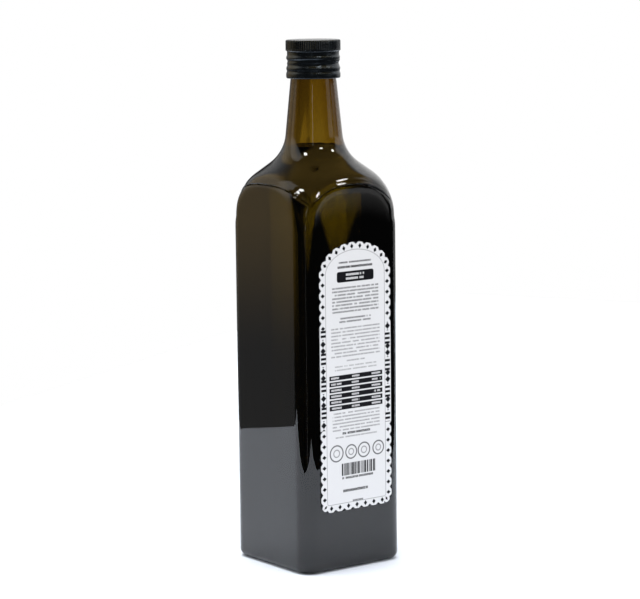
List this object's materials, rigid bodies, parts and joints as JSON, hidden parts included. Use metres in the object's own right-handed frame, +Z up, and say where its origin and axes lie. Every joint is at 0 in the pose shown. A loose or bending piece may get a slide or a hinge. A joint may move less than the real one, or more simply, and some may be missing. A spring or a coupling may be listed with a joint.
{
  "type": "olive oil bottle",
  "caption": "Square dark glass bottle of olive oil with a domed shoulder, slim neck, black screw cap and an arched white label.",
  "frame": {"origin": "centre of the base, on the surface the bottle stands on", "axes": "+Z up along the neck, the label faces -Y"},
  "size_m": [0.0722, 0.0725, 0.3036],
  "materials": {
    "dark_green_glass": "clear gloss",
    "olive_oil": "clear liquid",
    "black_enamel": "satin",
    "white_paper": "smooth printed paper"
  },
  "bodies": {
    "root": {"glass_bottle": "dark_green_glass", "oil": "olive_oil", "cap": "black_enamel", "label": "white_paper"}
  },
  "joints": []
}
